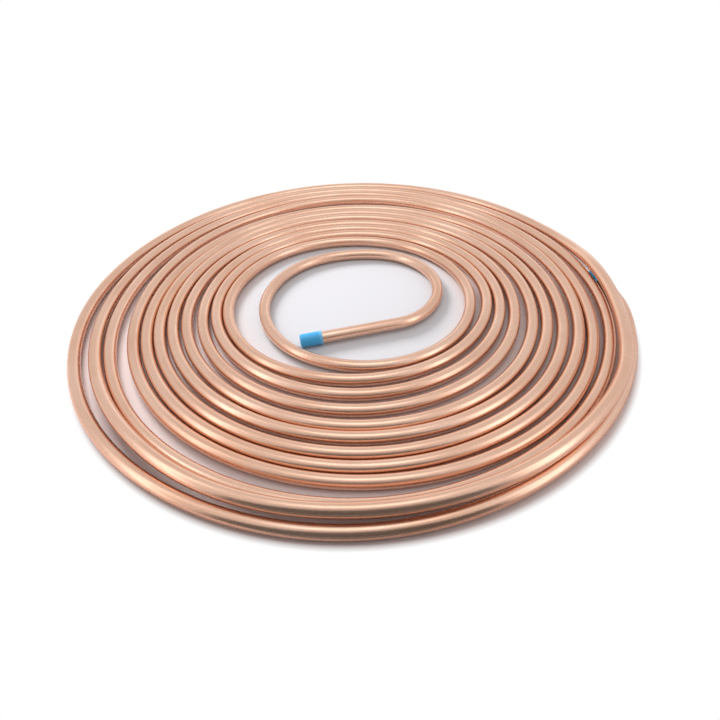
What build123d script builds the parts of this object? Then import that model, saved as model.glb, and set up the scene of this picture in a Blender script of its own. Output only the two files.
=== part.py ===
from build123d import *
import math
import os

# A coil of half-inch soft copper tube, lying flat: one length of tube bent into a loose spiral,
# with a push-on plastic cap over each of its two open ends.
# Sizes are in millimetres. The floor is z = 0, and the coil's middle is near x = y = 0.

# The tube
TUBE_OD = 12.7
TUBE_WALL = 0.81
OPEN_DEPTH = 40.0  # how far the hollow end is modelled; beyond it the tube is solid
TUBE_R = TUBE_OD / 2

# The inner loop, counted from the tube's inner end: a straight tail across the eye of the coil,
# then the angle and radius of each station up to the first turn
TAIL_START = (-52.5, -81.0)
TAIL_END = (51.6, -56.0)
LOOP = [(352, 98.0), (15, 106.0), (45, 105.5), (90, 93.5), (135, 94.0),
        (180, 99.5), (225, 109.5), (270, 121.5), (315, 134.5)]

# The turns, counted outwards. The tube runs anticlockwise, seen from above. Each turn is set
# out at eight stations: right, far right, far, far left, left, near left, near, near right.
STATIONS = 8
FIRST_TURN = (138.0, 134.0, 129.0, 135.5, 142.0, 142.5, 141.5, 150.0)
# The clear space at each station between a turn and the one inside it
GAPS = [
    (6.5, 5.5, 5.5, 3.5, 0.5, 2.0, 7.0, 5.5),
    (1.0, 1.5, 3.0, 2.0, 1.5, 5.5, 7.5, 6.5),
    (2.5, 2.0, 2.0, 4.0, 5.0, 4.0, 6.5, 8.0),
    (5.5, 5.0, 5.5, 3.5, 2.5, 2.0, 0.5, 2.0),
    (2.5, 1.0, 2.0, 0.5, 1.0, 3.0, 4.5, 4.0),
    (3.5, 4.5, 2.0, 0.5, 0.5, 1.0, 1.5, 1.5),
    (5.5, 11.0, 18.0, 10.0, 2.5, 1.0, 1.5, 3.0),
    (0.5, 0.5, 4.5, 7.0, 10.0, 11.0, 9.0, 1.5),
    (6.0, 4.0, 1.5, 5.0, 4.0),
]

# The last turn leaves the floor on the near side, rides over the turn inside it and the outer
# end, and comes down on the right to lie outermost: angle, radius and lift off the floor
CROSSING = [(225, 285.0, 7.5), (248, 290.0, 9.5), (270, 291.5, 11.0), (315, 296.5, 13.5),
            (330, 298.0, 14.5), (340, 294.5, 15.5), (350, 292.0, 15.5), (0, 292.4, 14.3),
            (6, 293.3, 13.2), (15, 297.6, 7.0), (25, 301.6, 1.6), (35, 302.5, 0.0)]
OUTERMOST = [(45, 302.8), (90, 303.5), (135, 302.5), (180, 305.0), (225, 303.5),
             (270, 303.2), (315, 302.5), (330, 303.6), (342, 305.0)]

# The outer end, straight and lying on its cap, hidden under the crossing
OUTER_FROM = (355, 304.0)
OUTER_END = (6.5, 301.9)

# The end caps
CAP_LENGTH = 23.5
CAP_WALL = 0.9
CAP_END = 2.0
CAP_RIM = 0.4
CAP_LIFT = CAP_WALL + CAP_RIM


def at(angle, radius, lift=0.0):
    """The centreline point at this angle and radius, lift above where the tube lies on the floor."""
    a = math.radians(angle)
    return Vector(radius * math.cos(a), radius * math.sin(a), TUBE_R + lift)


def turn_points():
    """The turns that lie on the floor: each station is a tube and a gap beyond the one inside it."""
    radii = list(FIRST_TURN)
    for gaps in GAPS:
        for gap in gaps:
            radii.append(radii[-STATIONS] + TUBE_OD + gap)
    return [at(360 / STATIONS * i, radius) for i, radius in enumerate(radii)]


def route():
    """Centreline points from the inner end to the outer end."""
    tail = [Vector(x, y, TUBE_R + CAP_LIFT) for x, y in (TAIL_START, TAIL_END)]
    loop = [at(*station) for station in LOOP]
    last = [at(*station) for station in CROSSING + OUTERMOST]
    end = [at(*OUTER_FROM, CAP_LIFT), at(*OUTER_END, CAP_LIFT)]
    return tail + loop + turn_points() + last + end


def heading(before, here, after):
    """The direction of travel at a point: that of the circle through it and its two neighbours,
    and level where it is not between them in height, so the tube never dips below where it lies."""
    come, go = here - before, after - here
    way = come * (1 / come.dot(come)) + go * (1 / go.dot(go))
    climbing = come.Z * go.Z > 0
    return Vector(way.X, way.Y, way.Z if climbing else 0.0).normalized()


def tangents(points):
    """The direction of travel at each point, along the straight runs at both ends."""
    ways = [heading(*points[i - 1:i + 2]) for i in range(1, len(points) - 1)]
    first = (points[1] - points[0]).normalized()
    final = (points[-1] - points[-2]).normalized()
    return [first, first] + ways[1:-1] + [final, final]


def two_arcs(p0, t0, p1, t1):
    """Two arcs from p0 along t0 to p1 along t1, which meet on one shared tangent."""
    across, both = p1 - p0, t0 + t1
    spare = 4 - both.dot(both)
    lean = across.dot(both)
    if spare < 1e-9:
        reach = across.dot(across) / (2 * lean)
    else:
        reach = (math.sqrt(lean * lean + spare * across.dot(across)) - lean) / spare
    q0, q1 = p0 + t0 * reach, p1 - t1 * reach
    middle = (q0 + q1) * 0.5
    return [
        Edge.make_tangent_arc(p0, t0, middle),
        Edge.make_tangent_arc(middle, (q1 - q0).normalized(), p1),
    ]


def centreline(points):
    """One smooth wire: a straight run at each end, and tangent arcs between."""
    ways = tangents(points)
    edges = [Edge.make_line(points[0], points[1])]
    for i in range(1, len(points) - 2):
        edges += two_arcs(points[i], ways[i], points[i + 1], ways[i + 1])
    edges.append(Edge.make_line(points[-2], points[-1]))
    return Wire(edges)


def rod(start, way, radius, length):
    """A round bar from start along way."""
    return Plane(origin=start, z_dir=way) * extrude(Circle(radius), length)


def copper_tube(points):
    """The whole length of tube, hollow for the last stretch at each end."""
    wire = centreline(points)
    start, end = points[0], points[-1]
    inward = (points[1] - start).normalized()
    back = (points[-2] - end).normalized()
    tube = sweep(Plane(origin=start, z_dir=inward) * Circle(TUBE_R), path=wire)
    bore = TUBE_R - TUBE_WALL
    tube -= rod(start - inward, inward, bore, OPEN_DEPTH + 1)
    tube -= rod(end - back, back, bore, OPEN_DEPTH + 1)
    return tube


def end_cap(tip, way):
    """A push-on cap: a round cup over the tube's end at tip, which points along way."""
    outer = TUBE_R + CAP_WALL
    mouth = tip - way * (CAP_LENGTH - CAP_END)
    frame = Plane(origin=mouth, z_dir=way)
    body = extrude(Circle(outer), CAP_LENGTH)
    body = fillet(body.edges().sort_by(Axis.Z)[-1], CAP_END * 0.9)
    rim = extrude(Circle(outer + CAP_RIM), 2.5)
    rim = fillet(rim.edges(), CAP_RIM * 0.8)
    body = body + rim - extrude(Circle(TUBE_R), CAP_LENGTH - CAP_END)
    return frame * body


def main():
    points = route()
    parts = {
        "copper_tube": copper_tube(points),
        "inner_end_cap": end_cap(points[0], (points[0] - points[1]).normalized()),
        "outer_end_cap": end_cap(points[-1], (points[-1] - points[-2]).normalized()),
    }
    box = Compound(children=[p.solids()[0] for p in parts.values()]).bounding_box()
    shift = Pos(-box.center().X, -box.center().Y, -box.min.Z)
    print("shift", box.center().X, box.center().Y, box.min.Z, "size", box.size)
    os.makedirs("parts", exist_ok=True)
    for name, part in parts.items():
        solids = part.solids()
        print(name, len(solids), "solid,", round(solids[0].volume), "mm3, valid", solids[0].is_valid)
        export_step(shift * solids[0], f"parts/{name}.step")


main()
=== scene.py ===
# %% [markdown]
# A coil of soft copper tube
#
# The thing is one length of half-inch soft copper tube, wound by hand into a loose flat spiral
# of about eleven turns, with a blue push-on cap over each end. It lies on a white table under
# soft studio light. Everything is in metres, with the floor at z = 0 and the coil's middle at
# x = y = 0.
#
# The lesson goes from the path of the tube to its skin, then the caps, the two finishes, the
# table, the light and the camera.

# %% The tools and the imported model
import math

import bpy
import numpy as np
from mathutils import Matrix, Vector


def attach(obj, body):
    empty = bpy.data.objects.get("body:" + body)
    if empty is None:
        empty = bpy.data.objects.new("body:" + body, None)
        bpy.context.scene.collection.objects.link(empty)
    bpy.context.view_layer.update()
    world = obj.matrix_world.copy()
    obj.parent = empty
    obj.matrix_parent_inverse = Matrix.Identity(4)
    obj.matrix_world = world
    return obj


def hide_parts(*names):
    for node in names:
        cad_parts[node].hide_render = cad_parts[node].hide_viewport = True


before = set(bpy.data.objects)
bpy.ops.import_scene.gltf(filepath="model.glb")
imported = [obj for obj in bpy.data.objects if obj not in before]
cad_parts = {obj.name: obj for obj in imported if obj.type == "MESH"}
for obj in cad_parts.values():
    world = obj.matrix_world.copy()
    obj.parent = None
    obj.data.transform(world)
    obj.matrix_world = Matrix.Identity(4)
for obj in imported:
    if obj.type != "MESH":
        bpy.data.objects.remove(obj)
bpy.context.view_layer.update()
MM = 0.001
scene = bpy.context.scene

# %% [markdown]
# The path of the tube
#
# A hand-wound coil has no single formula: each turn lies against the one inside it, or stands
# off it by a few millimetres. So the first turn is set out at eight stations round the coil, and
# every later station is the one inside it plus a tube and a gap. The last turn climbs over its
# neighbour and over the outer end, so its stations also have a lift. A list of points drawn by
# eye would also do, but then two turns could run into each other without anyone noticing.

# %% Sizes of the tube and its caps
TUBE_OD = 12.7 * MM
TUBE_WALL = 0.81 * MM
TUBE_R = TUBE_OD / 2
OPEN_DEPTH = 40.0 * MM
CAP_LENGTH = 23.5 * MM
CAP_WALL = 0.9 * MM
CAP_END = 2.0 * MM
CAP_RIM = 0.4 * MM
CAP_LIFT = CAP_WALL + CAP_RIM
print("tube radius", TUBE_R, "m, bore radius", TUBE_R - TUBE_WALL, "m, cap", CAP_LENGTH, "m long")

# %% The stations, as angle, radius and lift in degrees and millimetres
STATIONS = 8
TAIL_START, TAIL_END = (-52.5, -81.0), (51.6, -56.0)
LOOP = [(352, 98.0), (15, 106.0), (45, 105.5), (90, 93.5), (135, 94.0),
        (180, 99.5), (225, 109.5), (270, 121.5), (315, 134.5)]
FIRST_TURN = (138.0, 134.0, 129.0, 135.5, 142.0, 142.5, 141.5, 150.0)
GAPS = [
    (6.5, 5.5, 5.5, 3.5, 0.5, 2.0, 7.0, 5.5),
    (1.0, 1.5, 3.0, 2.0, 1.5, 5.5, 7.5, 6.5),
    (2.5, 2.0, 2.0, 4.0, 5.0, 4.0, 6.5, 8.0),
    (5.5, 5.0, 5.5, 3.5, 2.5, 2.0, 0.5, 2.0),
    (2.5, 1.0, 2.0, 0.5, 1.0, 3.0, 4.5, 4.0),
    (3.5, 4.5, 2.0, 0.5, 0.5, 1.0, 1.5, 1.5),
    (5.5, 11.0, 18.0, 10.0, 2.5, 1.0, 1.5, 3.0),
    (0.5, 0.5, 4.5, 7.0, 10.0, 11.0, 9.0, 1.5),
    (6.0, 4.0, 1.5, 5.0, 4.0),
]
CROSSING = [(225, 285.0, 7.5), (248, 290.0, 9.5), (270, 291.5, 11.0), (315, 296.5, 13.5),
            (330, 298.0, 14.5), (340, 294.5, 15.5), (350, 292.0, 15.5), (0, 292.4, 14.3),
            (6, 293.3, 13.2), (15, 297.6, 7.0), (25, 301.6, 1.6), (35, 302.5, 0.0)]
OUTERMOST = [(45, 302.8), (90, 303.5), (135, 302.5), (180, 305.0), (225, 303.5),
             (270, 303.2), (315, 302.5), (330, 303.6), (342, 305.0)]
OUTER_FROM, OUTER_END = (355, 304.0), (6.5, 301.9)
highest = max(lift for angle, radius, lift in CROSSING)
print("widest gap", max(max(gaps) for gaps in GAPS), "mm, highest lift", highest, "mm")


# %% From stations to points
def at(angle, radius, lift=0.0):
    """The centreline point at an angle in degrees and a radius and lift in millimetres."""
    a = math.radians(angle)
    return np.array([radius * math.cos(a), radius * math.sin(a), lift]) * MM + (0, 0, TUBE_R)


def stations():
    """All points of the centreline, from the inner end to the outer end."""
    cap_lift = CAP_LIFT / MM
    tail = [np.array([x * MM, y * MM, TUBE_R + CAP_LIFT]) for x, y in (TAIL_START, TAIL_END)]
    loop = [at(*station) for station in LOOP]
    radii = list(FIRST_TURN)
    for gaps in GAPS:
        for gap in gaps:
            radii.append(radii[-STATIONS] + TUBE_OD / MM + gap)
    turns = [at(360 / STATIONS * i, radius) for i, radius in enumerate(radii)]
    last = [at(*station) for station in CROSSING + OUTERMOST]
    end = [at(*OUTER_FROM, cap_lift), at(*OUTER_END, cap_lift)]
    return np.array(tail + loop + turns + last + end)


points = stations()
print(len(points), "stations")

# %% [markdown]
# A smooth line through the points
#
# Soft copper bends but never kinks, so the line has to leave each station in the direction in
# which it came. The direction at a station is that of the circle through it and its two
# neighbours. Between two stations runs a cubic curve with those directions at its ends. The line
# is then cut into equal steps, so that the mesh on it is even.


# %% The centreline
def directions(points):
    """Unit directions: each is the step in over its length squared, plus the step out over its
    length squared. Where the tube isn't steadily climbing or falling the direction is level."""
    step = np.diff(points, axis=0)
    share = step / (step ** 2).sum(1)[:, None]
    way = np.zeros_like(points)
    way[1:-1] = share[:-1] + share[1:]
    climbing = step[:-1, 2] * step[1:, 2] > 0
    way[1:-1, 2] *= climbing
    way[0] = way[1] = step[0]
    way[-1] = way[-2] = step[-1]
    return way / np.linalg.norm(way, axis=1)[:, None]


def smooth_line(points, per_span=40):
    """Cubic curves between the points: (2t3 - 3t2 + 1) p0 + (t3 - 2t2 + t) L w0
    + (3t2 - 2t3) p1 + (t3 - t2) L w1, where L is the length of the arc that fits the span."""
    way = directions(points)
    chord = np.linalg.norm(np.diff(points, axis=0), axis=1)
    turn = np.arccos(np.clip((way[:-1] * way[1:]).sum(1), -1, 1))
    reach = chord / np.sinc(turn / 2 / np.pi)
    t = np.linspace(0, 1, per_span, endpoint=False)[None, :, None]
    p0, p1 = points[:-1, None], points[1:, None]
    w0, w1 = way[:-1, None] * reach[:, None, None], way[1:, None] * reach[:, None, None]
    line = ((2 * t**3 - 3 * t**2 + 1) * p0 + (t**3 - 2 * t**2 + t) * w0
            + (3 * t**2 - 2 * t**3) * p1 + (t**3 - t**2) * w1)
    return np.vstack([line.reshape(-1, 3), points[-1:]])


def even_steps(line, count):
    """The same line at count evenly spaced points, and the distance of each along it."""
    length = np.r_[0, np.cumsum(np.linalg.norm(np.diff(line, axis=0), axis=1))]
    s = np.linspace(0, length[-1], count)
    return np.stack([np.interp(s, length, line[:, k]) for k in range(3)], 1), s


print("the inner end runs along", directions(points)[0].round(3))

# %% The line, moved so that the coil's middle is at x = y = 0
RINGS = 3100
line = smooth_line(points)
low, high = line.min(0), line.max(0)
centre_shift = np.array([-(low[0] + high[0]) / 2, -(low[1] + high[1]) / 2, 0.0])
line = line + centre_shift
points = points + centre_shift
centreline, along = even_steps(line, RINGS)
print("tube length", round(float(along[-1]), 3), "m, coil", (high - low)[:2] + TUBE_OD)

# %% [markdown]
# The skin of the tube
#
# The tube is a circle carried along the line. Every ring of the circle stands square to the
# line, with its first point underneath, where the seam of the surface map is out of sight.
# A bevelled curve would do the same, but here each vertex also gets its place on the
# straightened tube, which the finish needs: drawing a tube through a die leaves lines that run
# along it. The caps are round about their own line too, so the same steps make them.


# %% Rings along a line
def rings_about(centres, ways, radii, around):
    """A grid of points, one row for each centre: centre + r (sin a side - cos a top), where side
    is level and square to the way, top is square to both, and a runs once round."""
    side = np.cross(ways, (0, 0, 1.0))
    side /= np.linalg.norm(side, axis=1)[:, None]
    top = np.cross(side, ways)
    a = np.linspace(0, 2 * np.pi, around, endpoint=False)
    arm = np.sin(a)[None, :, None] * side[:, None] - np.cos(a)[None, :, None] * top[:, None]
    return centres[:, None] + radii[:, None, None] * arm


def straightened(distance, radii, around):
    """Each point's place on the tube if it were pulled straight: (s, r sin a, -r cos a)."""
    a = np.linspace(0, 2 * np.pi, around, endpoint=False)
    place = np.zeros((len(radii), around, 3))
    place[..., 0] = distance[:, None]
    place[..., 1] = radii[:, None] * np.sin(a)
    place[..., 2] = -radii[:, None] * np.cos(a)
    return place


print("a ring of four", straightened(np.zeros(1), np.ones(1), 4)[0].round(3).tolist())

# %% [markdown]
# Closing the skin
#
# Two neighbouring rings are joined by four-sided faces, and each end is closed by a fan of
# triangles about its middle. The map that the finish is painted on is one long ribbon, which
# would be a thousand times longer than wide, so it is cut into strips laid side by side.

# %% Faces of a skin, and its surface map
STRIP_MARGIN = 0.04


def skin_faces(rows, around):
    """Four-sided faces between neighbouring rings, then a fan of triangles from the middle of
    the first ring and one from the middle of the last, so that the skin is closed."""
    i, j = np.arange(rows - 1)[:, None], np.arange(around)[None, :]
    beside = (j + 1) % around
    quads = [i * around + j, (i + 1) * around + j, (i + 1) * around + beside, i * around + beside]
    quads = np.stack([q.ravel() for q in np.broadcast_arrays(*quads)], 1).tolist()
    j, beside = j.ravel(), beside.ravel()
    first, last = rows * around, rows * around + 1
    last_row = (rows - 1) * around
    fans = [(first, a, b) for a, b in zip(j.tolist(), beside.tolist())]
    fans += [(last, last_row + b, last_row + a) for a, b in zip(j.tolist(), beside.tolist())]
    return quads + fans


def skin_map(rows, around, strips):
    """A place on the map for every corner of every face: a strip runs from left to right, and
    once round the tube is its height, less STRIP_MARGIN on either side."""
    per = math.ceil((rows - 1) / strips)
    i, j = np.arange(rows - 1)[:, None], np.arange(around)[None, :]
    strip = i // per
    left, right = (1 + i - strip * per) / (per + 2), (2 + i - strip * per) / (per + 2)
    width = 1 - 2 * STRIP_MARGIN
    low, high = [(strip + STRIP_MARGIN + width * k / around) / strips for k in (j, j + 1)]
    quads = [(left, low), (right, low), (right, high), (left, high)]
    quads = np.stack([np.stack(np.broadcast_arrays(u, v), -1) for u, v in quads], 2)
    end = float(right[-1, 0])
    fans = []
    for u, middle, lows, highs in ((float(left[0, 0]), 0.0, low[0], high[0]),
                                   (end, end + 1 / (per + 2), high[-1], low[-1])):
        for a, b in zip(lows, highs):
            fans += [(middle, (a + b) / 2), (u, a), (u, b)]
    return np.vstack([quads.reshape(-1, 2), np.array(fans)])


print("three rings of four:", len(skin_faces(3, 4)), "faces,", len(skin_map(3, 4, 1)), "corners")

# %% A finished piece
SHARP_ANGLE = math.radians(40)


def enclosed(verts, faces):
    """The volume inside, from the fan of tetrahedra a.(b x c)/6; above zero if faces look out."""
    a, b, c, d = [verts[[face[k % len(face)] for face in faces]] for k in (0, 1, 2, 3)]
    fourth = np.array([len(face) == 4 for face in faces])
    return ((a * np.cross(b, c)).sum() + (a * np.cross(c, d)).sum(1)[fourth].sum()) / 6


def make_piece(name, node, centres, ways, radii, distance, around, strips):
    """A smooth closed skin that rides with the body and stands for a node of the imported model."""
    verts = rings_about(centres, ways, radii, around).reshape(-1, 3)
    verts = np.vstack([verts, centres[:1], centres[-1:]])
    faces = skin_faces(len(centres), around)
    mesh = bpy.data.meshes.new(name)
    mesh.from_pydata(verts.tolist(), [], faces)
    mesh.shade_smooth()
    mesh.set_sharp_from_angle(angle=SHARP_ANGLE)
    layer = mesh.uv_layers.new(name="OFBake")
    layer.data.foreach_set("uv", skin_map(len(centres), around, strips).ravel())
    place = straightened(distance, radii, around).reshape(-1, 3)
    ends = np.array([(distance[0], 0, 0), (distance[-1], 0, 0)])
    drawn = mesh.attributes.new("drawn", "FLOAT_VECTOR", "POINT")
    drawn.data.foreach_set("vector", np.vstack([place, ends]).ravel())
    piece = bpy.data.objects.new(name, mesh)
    scene.collection.objects.link(piece)
    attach(piece, "root")
    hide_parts(node)
    print(name, len(faces), "faces,", round(float(enclosed(verts, faces)) / MM**3), "mm3 inside")
    return piece


# %% The copper tube
AROUND = 30
STRIPS = 20
EDGE_BREAK = 0.15 * MM


def tube_rings():
    """Which point of the line each ring stands on, and its radius: from the middle of the plug
    in the first bore out to the end, along the outside, and in again at the far end. The cut
    edge is broken a little, as a pipe cutter and a wipe with a file leave it."""
    bore_r = TUBE_R - TUBE_WALL
    inside = int(np.searchsorted(along, OPEN_DEPTH))
    out, back = np.arange(inside, -1, -1), np.arange(RINGS - 1, RINGS - 2 - inside, -1)
    rings = np.r_[out, 0, np.arange(RINGS), RINGS - 1, back]
    radii = np.full(len(rings), TUBE_R)
    radii[:len(out)] = radii[-len(back):] = bore_r
    radii[len(out)] = radii[-len(back) - 1] = TUBE_R - EDGE_BREAK
    return rings, radii


ways = np.gradient(centreline, axis=0)
ways /= np.linalg.norm(ways, axis=1)[:, None]
rings, radii = tube_rings()
tube = make_piece("soft_copper_tube", "copper_tube", centreline[rings], ways[rings],
                  radii, along[rings], AROUND, STRIPS)

# %% [markdown]
# The caps
#
# Each end is closed by a push-on cap of soft blue plastic, moulded in one piece. It is a shape
# turned about the tube's own line: a flat end with a round corner, a plain side and a small
# rolled rim at the mouth. A cylinder with a bevel would look much the same, but the profile also
# gives the inside of the cup, which a cut or an open model would show.


# %% The profile of a cap
CAP_CORNER = 1.7 * MM
RIM_WIDTH = 2.4 * MM
CAP_AROUND = 48


def cap_profile(steps=8):
    """Distance from the mouth, and radius: from the middle of the end round the corner
    x = L - c + c cos a, r = R - c + c sin a, along the side, over the rim, and in to the
    bottom of the cup."""
    outer = TUBE_R + CAP_WALL
    a = np.linspace(0, np.pi / 2, steps)
    b = np.linspace(0, np.pi, steps)
    x = np.r_[CAP_LENGTH - CAP_CORNER + CAP_CORNER * np.cos(a), CAP_LENGTH / 2,
              RIM_WIDTH / 2 * (1 + np.cos(b)), 0.0, CAP_LENGTH - CAP_END]
    r = np.r_[outer - CAP_CORNER + CAP_CORNER * np.sin(a), outer,
              outer + CAP_RIM * np.sin(b), TUBE_R, TUBE_R]
    return x[::-1], r[::-1]


print("cap", len(cap_profile()[0]), "rings, widest radius", cap_profile()[1].max(), "m")


# %% A cap on each end
def unit(way):
    """The same direction with a length of one."""
    return way / np.linalg.norm(way)


def end_cap(name, node, tip, way):
    """The profile turned about the way of the tube's end, with its mouth back along the tube."""
    x, r = cap_profile()
    mouth = tip - way * (CAP_LENGTH - CAP_END)
    ways = np.repeat(way[None], len(x), 0)
    return make_piece(name, node, mouth + x[:, None] * way, ways, r, x,
                      CAP_AROUND, 1)


caps = [
    end_cap("inner_cap", "inner_end_cap", points[0], unit(points[0] - points[1])),
    end_cap("outer_cap", "outer_end_cap", points[-1], unit(points[-1] - points[-2])),
]

# %% [markdown]
# Small tools for the finishes
#
# A finish is a handful of nodes, each with a few values and a few wires. One function adds any
# node, and four more add what every finish here is made of: noise, a value carried from one
# range to another, a sum, and a mix of two colours.


# %% Materials and nodes
def new_material(name):
    """A new material with its usual shader, and its node tree."""
    material = bpy.data.materials.new(name)
    material.use_nodes = True
    return material, material.node_tree


def node(tree, kind, values=(), **settings):
    """A new node with its settings, and with values for the inputs named in values."""
    made = tree.nodes.new(kind)
    for name, value in settings.items():
        setattr(made, name, value)
    for name, value in dict(values).items():
        made.inputs[name].default_value = value
    return made


# %% Noise, ranges, sums and mixes
NOISE_ROUGHNESS = 0.55


def noise(tree, place, stretch, detail):
    """Soft noise with stretch lumps a metre along each of the three directions of place."""
    mapping = node(tree, "ShaderNodeMapping", {"Scale": stretch})
    made = node(tree, "ShaderNodeTexNoise", {"Scale": 1.0, "Detail": detail,
                                             "Roughness": NOISE_ROUGHNESS})
    tree.links.new(place, mapping.inputs["Vector"])
    tree.links.new(mapping.outputs["Vector"], made.inputs["Vector"])
    return made.outputs["Fac"]


def spread(tree, value, low, high, to_low=0.0, to_high=1.0):
    """The value with the range low to high carried to the range to_low to to_high."""
    made = node(tree, "ShaderNodeMapRange", {"From Min": low, "From Max": high,
                                             "To Min": to_low, "To Max": to_high})
    tree.links.new(value, made.inputs["Value"])
    return made.outputs["Result"]


def total(tree, *values):
    """The sum of several values."""
    result = values[0]
    for value in values[1:]:
        made = node(tree, "ShaderNodeMath", operation="ADD")
        tree.links.new(result, made.inputs[0])
        tree.links.new(value, made.inputs[1])
        result = made.outputs[0]
    return result


def blend(tree, share, first, second):
    """A colour that goes from first to second with the share; each is a colour or a wire."""
    made = node(tree, "ShaderNodeMix", data_type="RGBA")
    tree.links.new(share, made.inputs["Factor"])
    for socket, colour in ((made.inputs[6], first), (made.inputs[7], second)):
        if isinstance(colour, tuple):
            socket.default_value = colour
        else:
            tree.links.new(colour, socket)
    return made.outputs[2]


# %% [markdown]
# Marks of handling
#
# The tube and its caps have been through the same hands, which leave faint smudges and fine
# scuffs. That effect is made once, as a node group, and each finish uses it in its own measure.
# It starts from the place on the straightened piece, so the marks run along the tube.

# %% Smudges and scuffs, for both finishes
SMUDGE_STRETCH, SMUDGE_FROM, SMUDGE_TO = (22, 60, 60), 0.52, 0.70
SCUFF_STRETCH, SCUFF_FROM, SCUFF_TO = (160, 650, 650), 0.60, 0.72


def handling_marks():
    """A node group: from a place on the straightened piece to a smudge and a scuff mask."""
    group = bpy.data.node_groups.new("handling_marks", "ShaderNodeTree")
    group.interface.new_socket("Place", in_out="INPUT", socket_type="NodeSocketVector")
    group.interface.new_socket("Smudge", in_out="OUTPUT", socket_type="NodeSocketFloat")
    group.interface.new_socket("Scuff", in_out="OUTPUT", socket_type="NodeSocketFloat")
    start, finish = group.nodes.new("NodeGroupInput"), group.nodes.new("NodeGroupOutput")
    place = start.outputs["Place"]
    smudge = spread(group, noise(group, place, SMUDGE_STRETCH, 4.0), SMUDGE_FROM, SMUDGE_TO)
    scuff = spread(group, noise(group, place, SCUFF_STRETCH, 3.0), SCUFF_FROM, SCUFF_TO)
    group.links.new(smudge, finish.inputs["Smudge"])
    group.links.new(scuff, finish.inputs["Scuff"])
    return group


def handled_place(tree):
    """The place on the straightened piece, with the smudge and scuff masks there."""
    place = node(tree, "ShaderNodeAttribute", attribute_name="drawn").outputs["Vector"]
    hands = node(tree, "ShaderNodeGroup", node_tree=marks)
    tree.links.new(place, hands.inputs["Place"])
    return place, hands.outputs["Smudge"], hands.outputs["Scuff"]


def relief(tree, height, depth, shader):
    """The height, times the depth in metres, as fine relief on the shader."""
    bump = node(tree, "ShaderNodeBump", {"Distance": depth, "Strength": 1.0})
    tree.links.new(height, bump.inputs["Height"])
    tree.links.new(bump.outputs["Normal"], shader.inputs["Normal"])


marks = handling_marks()
print("group", marks.name, "with", len(marks.nodes), "nodes")

# %% [markdown]
# Bare copper
#
# New soft copper is annealed and bright, a pale pinkish metal that mirrors the room softly. Its
# colour drifts a little along the tube, warmer and browner where it was hotter or handled. Lines
# from the drawing die run along it, too fine to see one by one, which blur the reflections and
# show as faint streaks. Slow waves in the surface make the highlights wander as they do on tube
# bent by hand. A flat colour with one roughness looks like painted plastic at once.

# %% Copper
COPPER_BRIGHT = (0.905, 0.598, 0.455, 1)
COPPER_WARM = (0.830, 0.500, 0.353, 1)
COPPER_TOUCHED = (0.740, 0.450, 0.330, 1)
DRIFT_STRETCH, LINE_STRETCH, WAVE_STRETCH = (9, 35, 35), (4, 700, 700), (26, 45, 45)
COPPER_ROUGH = (0.25, 0.30)
COPPER_RELIEF = 0.12 * MM


def copper_material():
    """Metal with colour, roughness and bump from noise on the straightened tube."""
    material, tree = new_material("copper")
    shader = tree.nodes["Principled BSDF"]
    shader.inputs["Metallic"].default_value = 1.0
    place, smudge, scuff = handled_place(tree)
    drift = spread(tree, noise(tree, place, DRIFT_STRETCH, 3.0), 0.35, 0.68)
    lines = noise(tree, place, LINE_STRETCH, 2.0)
    waves = noise(tree, place, WAVE_STRETCH, 1.0)
    warm = blend(tree, drift, COPPER_BRIGHT, COPPER_WARM)
    touched = spread(tree, smudge, 0.0, 1.0, 0.0, 0.45)
    tree.links.new(blend(tree, touched, warm, COPPER_TOUCHED), shader.inputs["Base Color"])
    rough = total(tree, spread(tree, lines, 0.3, 0.7, *COPPER_ROUGH),
                  spread(tree, smudge, 0.0, 1.0, 0.0, 0.05),
                  spread(tree, scuff, 0.0, 1.0, 0.0, 0.10))
    tree.links.new(rough, shader.inputs["Roughness"])
    height = total(tree, spread(tree, lines, 0.0, 1.0, 0.0, 0.012), waves,
                   spread(tree, scuff, 0.0, 1.0, 0.0, -0.03))
    relief(tree, height, COPPER_RELIEF, shader)
    return material


tube.data.materials.append(copper_material())
print("copper on", tube.name)

# %% [markdown]
# Blue plastic
#
# The caps are soft vinyl with a satin skin. The plastic is thinner at the rolled mouth, where
# the light gets into it; that glow is painted as a paler blue. The skin has a very fine grain
# from the mould, and dull scuffs from being pushed on.

# %% Vinyl
VINYL_BLUE = (0.046, 0.345, 0.655, 1)
VINYL_PAINTED_GLOW = (0.190, 0.480, 0.750, 1)
VINYL_SCUFFED = (0.220, 0.460, 0.690, 1)
PALE_TO, BLUE_FROM = 1.6 * MM, 4.0 * MM
GRAIN_STRETCH = (2600, 2600, 2600)
VINYL_ROUGH = (0.34, 0.44)
VINYL_RELIEF = 0.02 * MM


def vinyl_material():
    """Plastic, paler within a few millimetres of the mouth as a painted glow of light through it,
    with grain and scuffs.
    """
    material, tree = new_material("blue_vinyl")
    shader = tree.nodes["Principled BSDF"]
    place, smudge, scuff = handled_place(tree)
    parts = node(tree, "ShaderNodeSeparateXYZ")
    tree.links.new(place, parts.inputs["Vector"])
    # Painted light: the mouth is paler for light that shines through the thin plastic.
    mouth = spread(tree, parts.outputs["X"], PALE_TO, BLUE_FROM, 0.75, 0.0)
    body = blend(tree, mouth, VINYL_BLUE, VINYL_PAINTED_GLOW)
    scuffed = spread(tree, scuff, 0.0, 1.0, 0.0, 0.30)
    tree.links.new(blend(tree, scuffed, body, VINYL_SCUFFED), shader.inputs["Base Color"])
    grain = noise(tree, place, GRAIN_STRETCH, 2.0)
    rough = total(tree, spread(tree, grain, 0.3, 0.7, *VINYL_ROUGH),
                  spread(tree, smudge, 0.0, 1.0, 0.0, 0.08))
    tree.links.new(rough, shader.inputs["Roughness"])
    relief(tree, grain, VINYL_RELIEF, shader)
    return material


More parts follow.
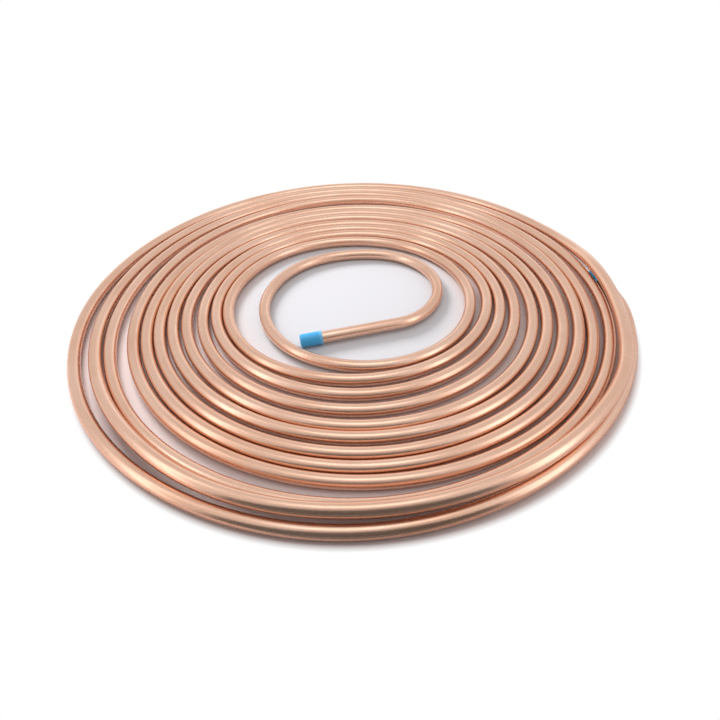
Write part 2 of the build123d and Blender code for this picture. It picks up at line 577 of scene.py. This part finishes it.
vinyl = vinyl_material()
for cap in caps:
    cap.data.materials.append(vinyl)
print("vinyl on", [cap.name for cap in caps])

# %% [markdown]
# The table
#
# The coil lies on a smooth white board. In the eye of the coil the board shows as the pale grey
# that it is. Between the turns it is warmer, lit by light that has met the copper. So little of
# that light is found by chance in a render that the board is simply tinted there. Outside the
# coil the picture is plain white, as in a catalogue, with only the soft shadow beside the tube
# left: for what the camera sees directly, the sheet turns into plain white light there.

# %% Where the board is white, tinted with painted bounce light from the copper, and left out, in metres from the middle
BOARD_WHITE = (0.56, 0.552, 0.575, 1)
# Painted light: the warm board colour between the turns stands for light bounced off the copper.
BOARD_PAINTED_BOUNCE = (0.67, 0.562, 0.545, 1)
BOUNCE_INNER, BOUNCE_OUTER = 0.115, 0.150
SHADOW_MIDDLE = (0.003, 0.0, 0.0)
SHADOW_INNER, SHADOW_OUTER = 0.310, 0.316
print("board warm from", BOUNCE_OUTER, "m out, left out from", SHADOW_OUTER, "m out")


def white_share(tree):
    """How much plain white light the camera sees in place of the board: 0 nearer than
    SHADOW_INNER to SHADOW_MIDDLE, 1 further than SHADOW_OUTER."""
    place = node(tree, "ShaderNodeTexCoord")
    away = node(tree, "ShaderNodeVectorMath", operation="DISTANCE")
    away.inputs[1].default_value = SHADOW_MIDDLE
    tree.links.new(place.outputs["Object"], away.inputs[0])
    fade = spread(tree, away.outputs["Value"], SHADOW_INNER, SHADOW_OUTER)
    share = node(tree, "ShaderNodeMath", operation="MULTIPLY")
    tree.links.new(fade, share.inputs[0])
    tree.links.new(node(tree, "ShaderNodeLightPath").outputs["Is Camera Ray"], share.inputs[1])
    return share.outputs[0]


def board_colour(tree):
    """White in the eye of the coil, and from BOUNCE_INNER to BOUNCE_OUTER on outwards a painted
    warm tint for light bounced off the copper.
    """
    place = node(tree, "ShaderNodeTexCoord")
    away = node(tree, "ShaderNodeVectorMath", operation="LENGTH")
    tree.links.new(place.outputs["Object"], away.inputs[0])
    bounce_share = spread(tree, away.outputs["Value"], BOUNCE_INNER, BOUNCE_OUTER)
    return blend(tree, bounce_share, BOARD_WHITE, BOARD_PAINTED_BOUNCE)


# %% The board
BOARD_HALF = 8.0
BOARD_ROUGH = 0.38
BOARD_SHINE = 0.35


def table_material():
    """A satin board, mixed to white light where white_share says so."""
    material, tree = new_material("white_board")
    board = tree.nodes["Principled BSDF"]
    tree.links.new(board_colour(tree), board.inputs["Base Color"])
    board.inputs["Roughness"].default_value = BOARD_ROUGH
    board.inputs["Specular IOR Level"].default_value = BOARD_SHINE
    paper = node(tree, "ShaderNodeEmission")
    mix = node(tree, "ShaderNodeMixShader")
    tree.links.new(white_share(tree), mix.inputs["Fac"])
    tree.links.new(board.outputs["BSDF"], mix.inputs[1])
    tree.links.new(paper.outputs["Emission"], mix.inputs[2])
    tree.links.new(mix.outputs["Shader"], tree.nodes["Material Output"].inputs["Surface"])
    return material


def flat_sheet(name, corners, material):
    """A flat four-sided stage piece."""
    mesh = bpy.data.meshes.new(name)
    mesh.from_pydata([tuple(c) for c in corners], [], [(0, 1, 2, 3)])
    mesh.materials.append(material)
    sheet = bpy.data.objects.new(name, mesh)
    scene.collection.objects.link(sheet)
    return sheet


def level(x, near, far, z):
    """The corners of a level sheet, x to each side, from near to far, at a height of z."""
    return [(-x, near, z), (x, near, z), (x, far, z), (-x, far, z)]


flat_sheet("board", level(BOARD_HALF, -BOARD_HALF, BOARD_HALF, 0), table_material())
print("board", 2 * BOARD_HALF, "m square")

# %% [markdown]
# The light
#
# Bare copper has no colour of its own in shadow: it shows what stands round it. So the studio is
# built as the tube mirrors it. White walls all round give the even pinkish beige of the left,
# right and far turns. Two tall softboxes stand at the left and the right front, and each makes
# one bright patch on every turn. One hangs overhead, for the thin line along the top of the near
# turns. A strong lamp high up behind on the left lights the table, so that the board shows pale
# in the eye and in the gaps on the left, where that light runs along the turns. The copper
# doesn't mirror this lamp.

# %% The walls
WALL_GLOW = 0.78


def studio_world():
    """White to the camera, and WALL_GLOW to everything else."""
    world = bpy.data.worlds.new("studio")
    world.use_nodes = True
    tree = world.node_tree
    rays = node(tree, "ShaderNodeLightPath")
    glow = spread(tree, rays.outputs["Is Camera Ray"], 0.0, 1.0, WALL_GLOW, 1.0)
    tree.links.new(glow, tree.nodes["Background"].inputs["Strength"])
    tree.nodes["Background"].inputs["Color"].default_value = (1, 1, 1, 1)
    scene.world = world


studio_world()
print("walls", scene.world.name, "at", WALL_GLOW)

# %% The lamps, each with its foot, head, width and glow
LAMPS = {
    "left_softbox": ((-1.00, -0.65, 0.02), (-0.65, 0.07, 1.00), 0.20, 1.5),
    "right_softbox": ((0.98, -0.69, 0.10), (0.75, -0.20, 0.92), 0.34, 1.2),
    "overhead_softbox": ((-0.30, -0.10, 1.10), (0.30, -0.10, 1.10), 0.45, 1.20),
    "table_lamp": ((-1.20, 0.95, 0.95), (-0.55, 1.40, 0.95), 0.60, 26.5),
}


def softbox(name, foot, head, width, glow):
    """A flat lamp as long as the way from foot to head, which faces the coil's middle. A glow of
    1 is as bright as white paper; the power that gives it is glow times pi times the area."""
    foot, head = Vector(foot), Vector(head)
    data = bpy.data.lights.new(name, "AREA")
    data.shape = "RECTANGLE"
    data.size, data.size_y = width, (head - foot).length
    data.energy = glow * math.pi * data.size * data.size_y
    lamp = bpy.data.objects.new(name, data)
    scene.collection.objects.link(lamp)
    middle = (foot + head) / 2
    long_way = (head - foot).normalized()
    away = (middle - long_way * middle.dot(long_way)).normalized()
    side = long_way.cross(away)
    axes = Matrix((side, long_way, away)).transposed().to_4x4()
    lamp.matrix_world = Matrix.Translation(middle) @ axes
    lamp.visible_camera = False
    return lamp


lamps = {name: softbox(name, *setting) for name, setting in LAMPS.items()}
lamps["table_lamp"].visible_glossy = False
print("lamps", {name: round(lamp.data.energy, 1) for name, lamp in lamps.items()}, "watts")

# %% [markdown]
# What the turns mirror near and far
#
# The near turns mirror what stands on the near side: the camera and the one who holds it, dark
# below and lighter above. Two upright cards stand for them. A third lies flat on the table in
# front of the coil and is dark only to the copper, because the table there is in their shade.
# A bright screen behind the coil gives the far turns their light top edge.


# %% The screens
def screen(name, corners, glow):
    """A flat card that gives off a set even light, and that the camera doesn't see."""
    material, tree = new_material(name)
    light = node(tree, "ShaderNodeEmission", {"Color": (1, 1, 1, 1), "Strength": glow})
    tree.links.new(light.outputs["Emission"], tree.nodes["Material Output"].inputs["Surface"])
    card = flat_sheet(name, corners, material)
    card.visible_camera = False
    return card


def upright(x, y, low, high):
    """The corners of an upright card across the view, x to each side."""
    return [(-x, y, low), (x, y, low), (x, y, high), (-x, y, high)]


screen("hands", upright(0.27, -0.42, 0.0, 0.17), 0.13)
screen("camera_side", upright(0.22, -0.50, 0.17, 0.45), 0.38)
screen("back_screen", upright(1.0, 0.95, 0.0, 0.5), 1.08)
# Painted shade: a dark sheet that the copper mirrors where the table in front lies in shade.
painted_shade_sheet = screen("front_painted_shade", level(0.20, -0.42, -0.318, MM), 0.20)
painted_shade_sheet.visible_diffuse = painted_shade_sheet.visible_shadow = False

# %% [markdown]
# The camera
#
# The picture is taken by hand from the near side, about half a metre off and 42 degrees up, with
# a wide lens, so the near turns are drawn larger than the far ones. The horizon leans a little.

# %% The camera
AIM = np.array([7.98, -105.59, 0.0]) * MM + centre_shift
DISTANCE = 535.3 * MM
ELEVATION = 0.7341
ROLL = -0.0331
SENSOR, FOCAL = 36.0, 25.894
CLIP_START = 0.01


def camera():
    """Looks at AIM from the near side, ELEVATION up from the floor, turned by ROLL about its
    own line of sight."""
    back = np.array([0, -math.cos(ELEVATION), math.sin(ELEVATION)])
    right = np.array([1.0, 0, 0])
    up = np.cross(back, right)
    across = math.cos(ROLL) * right + math.sin(ROLL) * up
    upward = -math.sin(ROLL) * right + math.cos(ROLL) * up
    data = bpy.data.cameras.new("camera")
    data.lens = FOCAL
    data.sensor_width = SENSOR
    data.clip_start = CLIP_START
    cam = bpy.data.objects.new("camera", data)
    scene.collection.objects.link(cam)
    axes = Matrix((across, upward, back)).transposed().to_4x4()
    cam.matrix_world = Matrix.Translation(Vector(AIM + back * DISTANCE)) @ axes
    scene.camera = cam
    return cam


camera()
scene.view_settings.view_transform = "Standard"
print("camera at", [round(v, 3) for v in scene.camera.matrix_world.translation])
